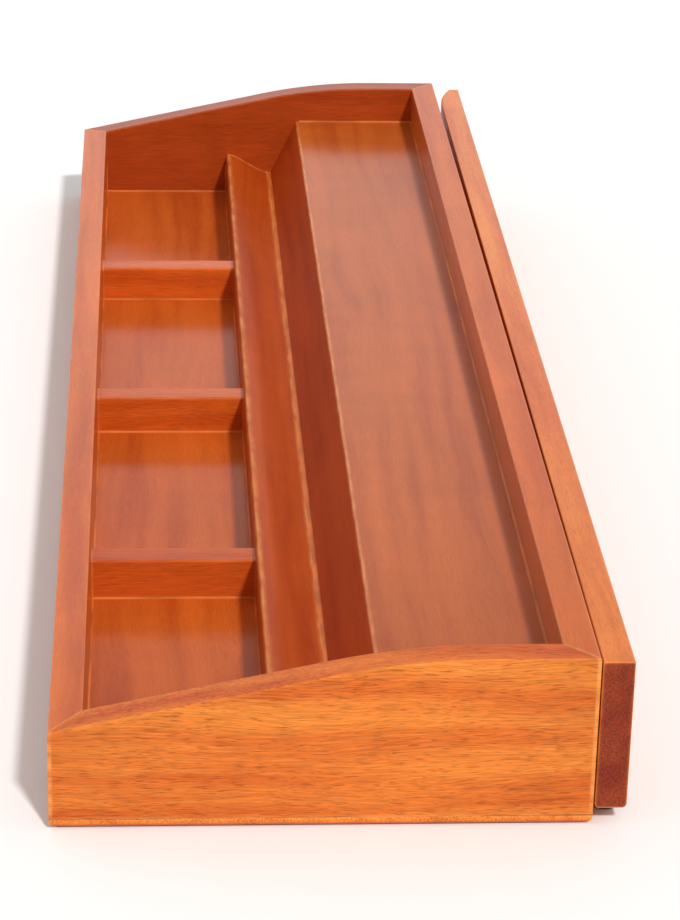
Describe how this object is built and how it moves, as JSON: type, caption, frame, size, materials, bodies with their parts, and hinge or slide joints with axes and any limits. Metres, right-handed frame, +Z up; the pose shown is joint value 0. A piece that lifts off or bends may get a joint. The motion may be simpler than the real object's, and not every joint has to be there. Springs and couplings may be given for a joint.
{
  "type": "tabletop tile rack with swinging pusher arm",
  "caption": "Long low wooden rack with front compartments, a sloping tile groove, a flat shelf and a swinging pusher arm along its high side.",
  "frame": {"origin": "bottom centre of the whole rack, arm included, on the table", "axes": "+X along the rack away from the arm's pivot, +Y from the player's low side towards the high side and the arm, +Z up"},
  "size_m": [0.457, 0.1342, 0.0432],
  "materials": {
    "stained_acacia": "reddish-brown stain under satin lacquer",
    "brown_rubber": "matt moulded",
    "brass": "turned",
    "nylon": "moulded, natural",
    "steel": "zinc plated"
  },
  "bodies": {
    "rack": {"base_board": "stained_acacia", "front_rail": "stained_acacia", "back_rail": "stained_acacia", "left_end_panel": "stained_acacia", "right_end_panel": "stained_acacia", "divider_1": "stained_acacia", "divider_2": "stained_acacia", "divider_3": "stained_acacia", "ledge_block": "stained_acacia", "backrest_board": "stained_acacia", "shelf_board": "stained_acacia", "shelf_cleat": "stained_acacia", "pivot_plate": "steel", "plate_screw_1": "steel", "plate_screw_2": "steel", "plate_screw_3": "steel"},
    "pusher": {"pusher_arm": "stained_acacia", "arm_glide": "brown_rubber", "pivot_insert": "brass", "pivot_washer": "nylon", "pivot_screw": "steel"}
  },
  "joints": [
    {"name": "pusher_pivot", "type": "hinge", "parent": "rack", "child": "pusher", "pos_m": [-0.2155, 0.06338, 0.004], "axis": [0, 0, 1], "range_deg": [0, 38]}
  ]
}
